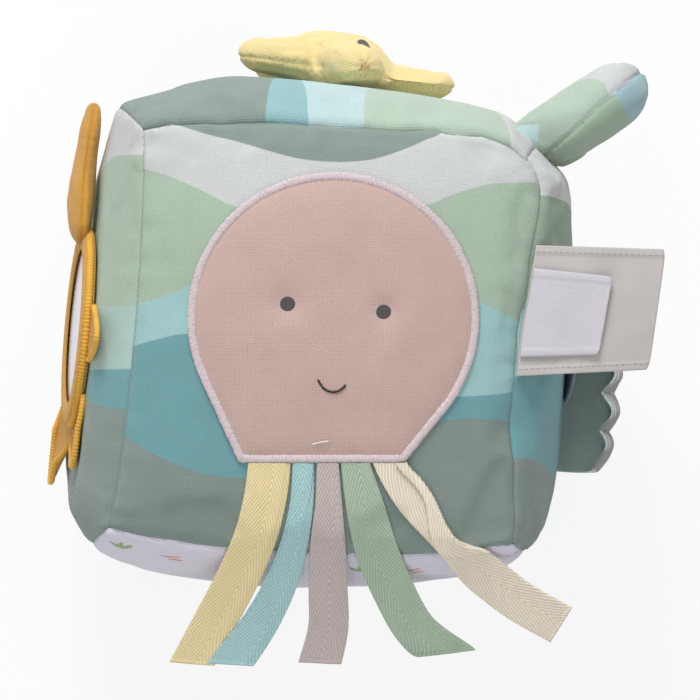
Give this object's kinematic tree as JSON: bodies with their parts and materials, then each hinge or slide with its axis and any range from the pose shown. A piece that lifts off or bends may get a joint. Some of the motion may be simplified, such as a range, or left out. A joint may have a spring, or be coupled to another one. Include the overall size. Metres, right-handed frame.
{
  "type": "soft activity block",
  "caption": "Stuffed fabric play block with an octopus face and tape legs, a stuffed starfish, a hinged mirror, a shell flap, two bare labels, a grab tab and an inner rattle.",
  "frame": {"origin": "middle of the flat patch that the back panel rests on", "axes": "+Z out of the octopus panel, +Y towards the starfish panel, +X towards the labels; the block lies on its back"},
  "size_m": [0.1915, 0.1999, 0.1518],
  "materials": {
    "jersey_print": "brushed cotton jersey printed in sea-coloured bands",
    "jersey_white": "white cotton jersey with small printed sprigs",
    "filling": "polyester fibre filling",
    "rattle_plastic": "thin moulded rattle shell",
    "rattle_bead": "small moulded bead",
    "octopus_jersey": "dusty pink cotton jersey",
    "satin_stitch": "pale pink satin stitching",
    "tape_yellow": "pale yellow herringbone twill tape",
    "tape_aqua": "aqua herringbone twill tape",
    "tape_grey": "warm grey herringbone twill tape",
    "tape_green": "sage green herringbone twill tape",
    "tape_cream": "cream herringbone twill tape",
    "starfish_jersey": "pale yellow cotton jersey, stuffed",
    "mirror_jersey": "mustard cotton jersey with overlocked edges",
    "mirror_film": "soft plastic mirror film",
    "flap_fabric": "light grey cotton with white stitched ribs",
    "flap_lining": "grey green cotton jersey lining",
    "crinkle_film": "thin crinkling film",
    "patch_felt": "blue grey patch with blanket stitching",
    "care_label": "bare hemmed satin label",
    "woven_label": "bare woven label"
  },
  "bodies": {
    "block": {"front_panel": "jersey_print", "back_panel": "jersey_print", "left_panel": "jersey_print", "right_panel": "jersey_print", "top_panel": "jersey_print", "bottom_panel": "jersey_white", "stuffing_front": "filling", "stuffing_back": "filling", "rattle_shell_back": "rattle_plastic", "rattle_shell_front": "rattle_plastic", "octopus_head": "octopus_jersey", "octopus_edging": "satin_stitch", "starfish_anchor": "starfish_jersey", "mirror_lobe_near": "mirror_jersey", "flap_patch": "patch_felt"},
    "rattle_beads": {"rattle_bead_1": "rattle_bead", "rattle_bead_2": "rattle_bead", "rattle_bead_3": "rattle_bead"},
    "ribbon_yellow": {"ribbon_yellow": "tape_yellow"},
    "ribbon_aqua": {"ribbon_aqua": "tape_aqua"},
    "ribbon_grey": {"ribbon_grey": "tape_grey"},
    "ribbon_green": {"ribbon_green": "tape_green"},
    "ribbon_cream": {"ribbon_cream": "tape_cream"},
    "starfish": {"starfish_body": "starfish_jersey", "starfish_arm_1": "starfish_jersey", "starfish_arm_2": "starfish_jersey", "starfish_arm_3": "starfish_jersey", "starfish_arm_4": "starfish_jersey", "starfish_arm_5": "starfish_jersey"},
    "mirror": {"mirror_backing": "mirror_jersey", "mirror_film": "mirror_film", "mirror_frame": "mirror_jersey", "mirror_lobe_low_front": "mirror_jersey", "mirror_lobe_low_back": "mirror_jersey", "mirror_lobe_back": "mirror_jersey", "mirror_stuffed_arm": "mirror_jersey"},
    "shell_flap": {"flap_lining": "flap_lining", "flap_crinkle_film": "crinkle_film", "flap_outer": "flap_fabric"},
    "care_label": {"care_label": "care_label"},
    "woven_label": {"woven_label": "woven_label"},
    "grab_tab": {"grab_tab": "jersey_print"}
  },
  "joints": [
    {"name": "ribbon_yellow_lift", "type": "hinge", "parent": "block", "child": "ribbon_yellow", "pos_m": [0, -0.0384, 0.1489], "axis": [-1, 0, 0], "range_deg": [0, 100]},
    {"name": "ribbon_aqua_lift", "type": "hinge", "parent": "block", "child": "ribbon_aqua", "pos_m": [0, -0.0384, 0.1489], "axis": [-1, 0, 0], "range_deg": [0, 100]},
    {"name": "ribbon_grey_lift", "type": "hinge", "parent": "block", "child": "ribbon_grey", "pos_m": [0, -0.0384, 0.1489], "axis": [-1, 0, 0], "range_deg": [0, 100]},
    {"name": "ribbon_green_lift", "type": "hinge", "parent": "block", "child": "ribbon_green", "pos_m": [0, -0.0384, 0.1489], "axis": [-1, 0, 0], "range_deg": [0, 100]},
    {"name": "ribbon_cream_lift", "type": "hinge", "parent": "block", "child": "ribbon_cream", "pos_m": [0, -0.0384, 0.1489], "axis": [-1, 0, 0], "range_deg": [0, 100]},
    {"name": "starfish_twist", "type": "hinge", "parent": "block", "child": "starfish", "pos_m": [0.0043, 0.0838, 0.064], "axis": [0.1305, 0.9914, 0], "range_deg": [-15, 15], "stiffness_Nm_per_rad": 0.03},
    {"name": "mirror_lift", "type": "hinge", "parent": "block", "child": "mirror", "pos_m": [-0.07188, 0.00223, 0.1202], "axis": [0.0872, 0.9962, 0], "range_deg": [0, 70]},
    {"name": "shell_flap_lift", "type": "hinge", "parent": "block", "child": "shell_flap", "pos_m": [0.0784, -0.012, 0.04477], "axis": [0, 1, 0], "range_deg": [-12, 110], "stiffness_Nm_per_rad": 0.02},
    {"name": "care_label_fold", "type": "hinge", "parent": "block", "child": "care_label", "pos_m": [0.0593, 0.0072, 0.13985], "axis": [-0.097, -0.9951, 0.018], "range_deg": [-18, 55], "stiffness_Nm_per_rad": 0.004},
    {"name": "woven_label_fold", "type": "hinge", "parent": "care_label", "child": "woven_label", "pos_m": [0.0593, 0.0072, 0.14045], "axis": [-0.097, -0.9951, 0.018], "range_deg": [0, 45], "stiffness_Nm_per_rad": 0.003},
    {"name": "grab_tab_bend", "type": "hinge", "parent": "block", "child": "grab_tab", "pos_m": [0.06766, 0.05831, 0.106], "axis": [0, 0, 1], "range_deg": [-12, 12], "stiffness_Nm_per_rad": 0.05},
    {"name": "rattle_beads_slide", "type": "slide", "parent": "block", "child": "rattle_beads", "axis": [0, 0, 1], "range_m": [0, 0.025]}
  ]
}
